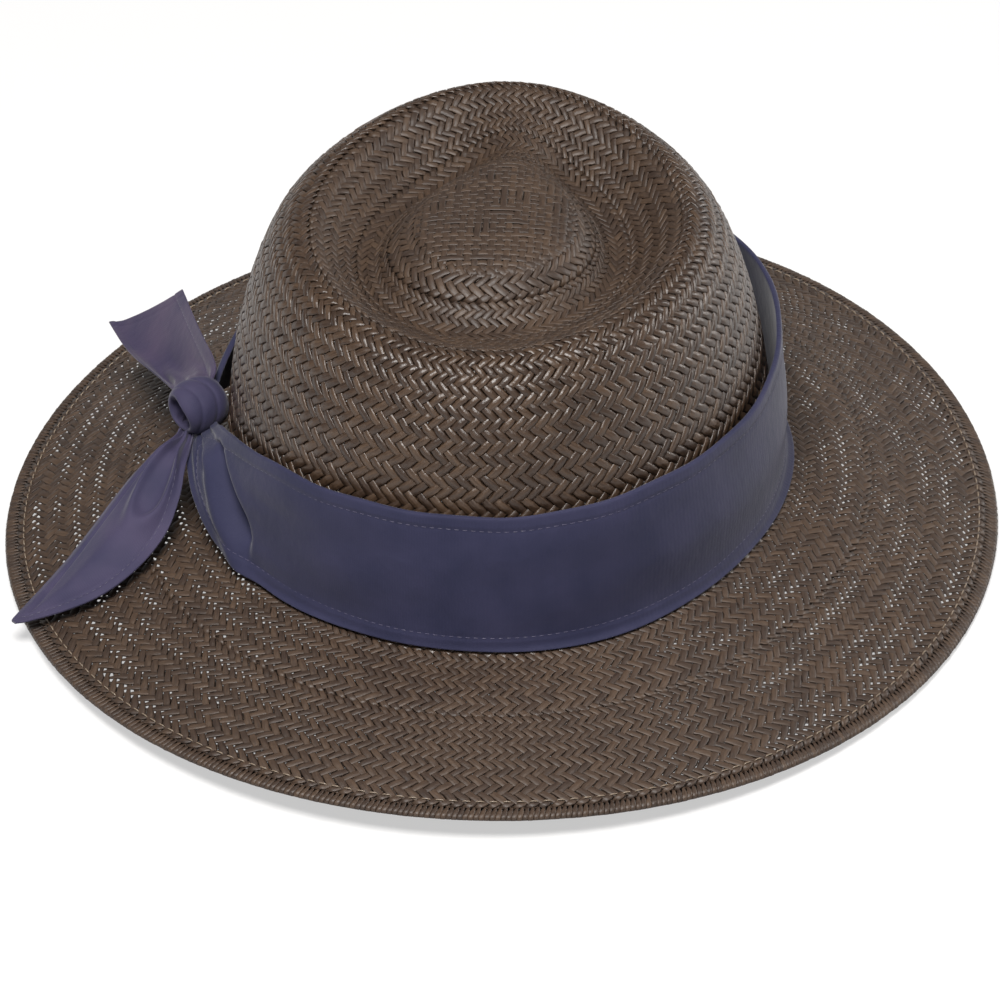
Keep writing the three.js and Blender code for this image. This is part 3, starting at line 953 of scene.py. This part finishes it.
def floor_material(settings):
    """A light table's opal acrylic, lit from below so that it stays pale in the hat's shade."""
    sockets = {
        "Base Color": (*settings.floor_colour, 1.0),
        "Roughness": 0.9,
        "Emission Color": (1, 1, 1, 1),
        "Emission Strength": settings.floor_glow,
    }
    return new_material("Opal acrylic, lit from below", sockets)[0]


# ---- Settings --------------------------------------------------------------


def colour_setting(name, description, colour):
    return FloatVectorProperty(
        name=name, description=description, subtype="COLOR", default=from_hex(colour), min=0, max=1
    )


def number_setting(name, description, default, **limits):
    return FloatProperty(name=name, description=description, default=default, **limits)


class FedoraStraw(bpy.types.PropertyGroup):
    # The ramp runs from dark to light with each strand's own tint and with the creases, which darken it as
    # painted shade.
    dark: colour_setting("Dark", "The straw's brown in its creases", "#271c16")
    middle: colour_setting("Middle", "The straw's usual brown", "#382a20")
    light: colour_setting("Light", "The straw's brown on its palest strands", "#4b3a2c")
    thread: colour_setting("Hem Thread", "Colour of the thread round the brim", "#7a6c5d")
    gloss: number_setting(
        "Polish", "Roughness of the straw where it is smoothest", 0.28, subtype="FACTOR", min=0, max=1
    )
    stitch_pitch: number_setting("Stitch Pitch", "From one stitch of the hem to the next, mm", 3.8, min=1)
    seed: IntProperty(name="Seed", description="Picks the straw's irregularities", default=7, min=0)


class FedoraScarf(bpy.types.PropertyGroup):
    band_dark: colour_setting("Band, Dark", "The folded band's navy where the dye took most", "#191b38")
    band_light: colour_setting("Band, Light", "The folded band's navy where it is worn", "#262642")
    # The knot's navy is lighter than the band's. The lower end wears it too, darker than the upper end's
    # navy: painted shade.
    knot_dark: colour_setting("Knot, Dark", "The knot's navy where the dye took most", "#292742")
    knot_light: colour_setting("Knot, Light", "The knot's navy where it is worn", "#39334d")
    # The ends' navy is painted light, lighter than the knot's, as if light shone through the thin cloth.
    # Only the upper end wears it.
    painted_lit_end_dark: colour_setting("Ends, Dark", "The thin ends' navy where the dye took most", "#2c2643")
    painted_lit_end_light: colour_setting("Ends, Light", "The thin ends' navy where it is worn", "#41364e")
    thread: colour_setting("Thread", "Colour of the scarf's hem stitches", "#4d4a5e")
    band_pieces: IntProperty(name="Band Pieces", description="Facets along the band", default=760, min=60)


class FedoraStage(bpy.types.PropertyGroup):
    floor_colour: colour_setting("Floor Colour", "Colour of the floor", "#9a9a9a")
    floor_glow: number_setting("Floor Glow", "How brightly the floor is lit from below", 0.54, min=0)
    room_light: number_setting("Room Light", "Light from all round, above the horizon", 0.16, min=0)
    horizon_light: number_setting("Horizon Light", "Light from all round, at the horizon", 0.85, min=0)
    key_light: number_setting("Overhead Light", "Power of the lamp above the hat", 64, unit="POWER", min=0)
    side_light: number_setting(
        "Side Light", "Power of the lamp at the wearer's right", 28, unit="POWER", min=0
    )
    camera_rise: number_setting(
        "Camera Rise", "The camera's angle above the brim", math.radians(33), subtype="ANGLE"
    )
    camera_turn: number_setting(
        "Camera Turn", "How far the hat's front is turned to the right", math.radians(3.07), subtype="ANGLE"
    )
    camera_roll: number_setting(
        "Camera Roll", "How far the hat leans sideways in view", math.radians(-0.93), subtype="ANGLE"
    )
    camera_distance: number_setting(
        "Camera Distance", "From the camera to the middle of the hat", 1.6, unit="LENGTH"
    )
    scale: number_setting("Scale", "How many picture widths one metre takes at the hat", 3.26)
    shift_across: number_setting("Shift Across", "Frame's shift, as a share of its width", -0.0007)
    shift_up: number_setting("Shift Up", "Frame's shift upwards, as a share of its width", -0.045)


# ---- Operators -------------------------------------------------------------


def dress(piece, material, node):
    """Gives a piece its material, hangs it on the root body and hides the CAD node that it stands for."""
    piece.data.materials.clear()
    piece.data.materials.append(material)
    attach(piece, "root")
    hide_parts(node)


class FEDORA_OT_straw(bpy.types.Operator):
    """Weave the crown and the brim, strand by strand"""

    bl_idname = "fedora.straw"
    bl_label = "Weave the Straw"

    def execute(self, context):
        settings = context.scene.fedora_straw
        rng = np.random.default_rng(settings.seed)
        gloss = settings.gloss
        plump = straw_material("Calendered paper straw, dyed dark brown", settings, 0.75, gloss)
        pressed = straw_material("Pressed paper straw, dyed dark brown", settings, 0.4, gloss + 0.14)
        groups = {}
        for ring in RINGS:
            groups.setdefault(ring.piece, []).append(woven_ring(ring, rng))
        groups["crown_tip_straw"] += plain_patch(rng)
        groups["brim_hem_straw"] = [folded_hem(rng)]
        for name, meshes in groups.items():
            material = plump if name == "crown_wall_straw" else pressed
            dress(join_meshes(name, meshes), material, "straw_body")
        thread = thread_material("Glazed cotton thread, taupe", settings.thread)
        sewn = hem_stitches(settings.stitch_pitch)
        dress(join_meshes("brim_stitches", [sewn]), thread, "straw_body")
        return {"FINISHED"}


class FEDORA_OT_scarf(bpy.types.Operator):
    """Wrap the scarf round the crown, knot it and lay its two ends"""

    bl_idname = "fedora.scarf"
    bl_label = "Tie the Scarf"

    def execute(self, context):
        settings = context.scene.fedora_scarf
        # One cotton in three navies that differ by painted light and shade: the upper end painted lightest,
        # the lower end in the knot's darker navy as painted shade.
        cotton = "Brushed plain-woven cotton, dyed navy, "
        double = cotton_material(cotton + "folded double", settings.band_dark, settings.band_light)
        knot_and_shaded_end_cotton = cotton_material(cotton + "knot, and lower end in painted shade", settings.knot_dark, settings.knot_light)
        single = cotton_material(cotton + "single", settings.painted_lit_end_dark, settings.painted_lit_end_light)
        band = cloth_grid("band_cloth", settings.band_pieces, 100, (580, 150), band_shape)
        knot = cloth_grid("knot_cloth", 120, 120, (60, 50), knot_shape)
        upper = cloth_grid("upper_tail_cloth", 150, 120, (80, 60), tail_shape(UPPER_TAIL, upper_relief))
        lower = cloth_grid("lower_tail_cloth", 160, 120, (90, 50), tail_shape(LOWER_TAIL, lower_relief))
        dress(band, double, "scarf_band")
        dress(knot, knot_and_shaded_end_cotton, "scarf_knot")
        dress(upper, single, "tail_upper")
        dress(lower, knot_and_shaded_end_cotton, "tail_lower")
        thread = thread_material("Mercerised cotton thread, slate", settings.thread)
        dress(join_meshes("band_stitches", band_stitches()), thread, "scarf_band")
        sewn = tail_stitches(LOWER_TAIL, lower_relief, inset=2.2, at_left=True, start=0.3, end=0.97)
        dress(join_meshes("lower_tail_stitches", [sewn]), thread, "tail_lower")
        sewn = tail_stitches(UPPER_TAIL, upper_relief, inset=4.4, at_left=False, start=0.3, end=0.96)
        dress(join_meshes("upper_tail_stitches", [sewn]), thread, "tail_upper")
        return {"FINISHED"}


def add_light(name, location, size, power, colour):
    """A rectangular lamp that faces the hat."""
    data = bpy.data.lights.new(name, "AREA")
    data.shape = "RECTANGLE"
    data.size, data.size_y = size
    data.energy = power
    data.color = colour
    light = bpy.data.objects.new(name, data)
    bpy.context.collection.objects.link(light)
    light.location = location
    light.rotation_euler = (-light.location).to_track_quat("-Z", "Y").to_euler()


def light_room(scene, settings):
    """Light from all round, palest at the horizon so that a low view has a pale background."""
    world = bpy.data.worlds.new("soft room")
    scene.world = world
    world.use_nodes = True
    tree = world.node_tree
    background = tree.nodes["Background"]
    background.inputs["Color"].default_value = (1, 1, 1, 1)
    direction = add_node(tree, "ShaderNodeTexCoord").outputs["Generated"]
    height = add_node(tree, "ShaderNodeSeparateXYZ", links={"Vector": direction}).outputs["Z"]
    fall = {
        "From Min": 0.05,
        "From Max": 0.18,
        "To Min": settings.horizon_light,
        "To Max": settings.room_light,
    }
    strength = add_node(tree, "ShaderNodeMapRange", values=fall, links={"Value": height})
    tree.links.new(strength.outputs["Result"], background.inputs["Strength"])


def aim_camera(settings):
    """Looks at the hat from behind and above."""
    hat_in_view = Matrix.Rotation(settings.camera_roll, 3, "Y")
    hat_in_view = hat_in_view @ Matrix.Rotation(-settings.camera_turn, 3, "Z")
    hat_in_view = hat_in_view @ Matrix.Rotation(math.pi, 3, "Z")
    towards_hat = Matrix.Rotation(math.pi / 2 - settings.camera_rise, 3, "X")
    facing = hat_in_view.transposed() @ towards_hat
    data = bpy.data.cameras.new("camera")
    data.lens = settings.scale * settings.camera_distance * data.sensor_width
    data.shift_x = settings.shift_across
    data.shift_y = settings.shift_up
    data.clip_end = 20
    camera = bpy.data.objects.new("camera", data)
    bpy.context.collection.objects.link(camera)
    camera.matrix_world = facing.to_4x4()
    back = facing.col[2] * settings.camera_distance
    camera.location = (back.x, back.y, back.z + STAND * MM)
    bpy.context.scene.camera = camera


class FEDORA_OT_stage(bpy.types.Operator):
    """Lay the floor and set up the lights and the camera"""

    bl_idname = "fedora.stage"
    bl_label = "Set the Stage"

    def execute(self, context):
        settings = context.scene.fedora_stage
        bm = bmesh.new()
        bmesh.ops.create_grid(bm, x_segments=1, y_segments=1, size=6)
        floor = object_from("floor", bm)
        floor.data.materials.append(floor_material(settings))
        light_room(context.scene, settings)
        add_light("overhead", (0.15, 0.85, 1.85), (0.9, 0.7), settings.key_light, (1.0, 0.98, 0.96))
        add_light("side", (-2.05, -1.25, 0.85), (0.5, 1.0), settings.side_light, (1.0, 0.97, 0.94))
        aim_camera(settings)
        context.scene.view_settings.view_transform = "Standard"
        return {"FINISHED"}


class FEDORA_PT_panel(bpy.types.Panel):
    bl_label = "Straw Fedora"
    bl_idname = "FEDORA_PT_panel"
    bl_space_type = "VIEW_3D"
    bl_region_type = "UI"
    bl_category = "Fedora"

    def draw(self, context):
        for group, operator in (
            (context.scene.fedora_straw, "fedora.straw"),
            (context.scene.fedora_scarf, "fedora.scarf"),
            (context.scene.fedora_stage, "fedora.stage"),
        ):
            box = self.layout.box()
            for name in group.bl_rna.properties.keys():
                if name not in ("rna_type", "name"):
                    box.prop(group, name)
            box.operator(operator)


CLASSES = (
    FedoraStraw,
    FedoraScarf,
    FedoraStage,
    FEDORA_OT_straw,
    FEDORA_OT_scarf,
    FEDORA_OT_stage,
    FEDORA_PT_panel,
)


def register():
    for cls in CLASSES:
        bpy.utils.register_class(cls)
    bpy.types.Scene.fedora_straw = PointerProperty(type=FedoraStraw)
    bpy.types.Scene.fedora_scarf = PointerProperty(type=FedoraScarf)
    bpy.types.Scene.fedora_stage = PointerProperty(type=FedoraStage)


def unregister():
    del bpy.types.Scene.fedora_stage
    del bpy.types.Scene.fedora_scarf
    del bpy.types.Scene.fedora_straw
    for cls in reversed(CLASSES):
        bpy.utils.unregister_class(cls)


def main():
    register()
    bpy.ops.fedora.straw()
    bpy.ops.fedora.scarf()
    bpy.ops.fedora.stage()


if __name__ == "__main__":
    main()
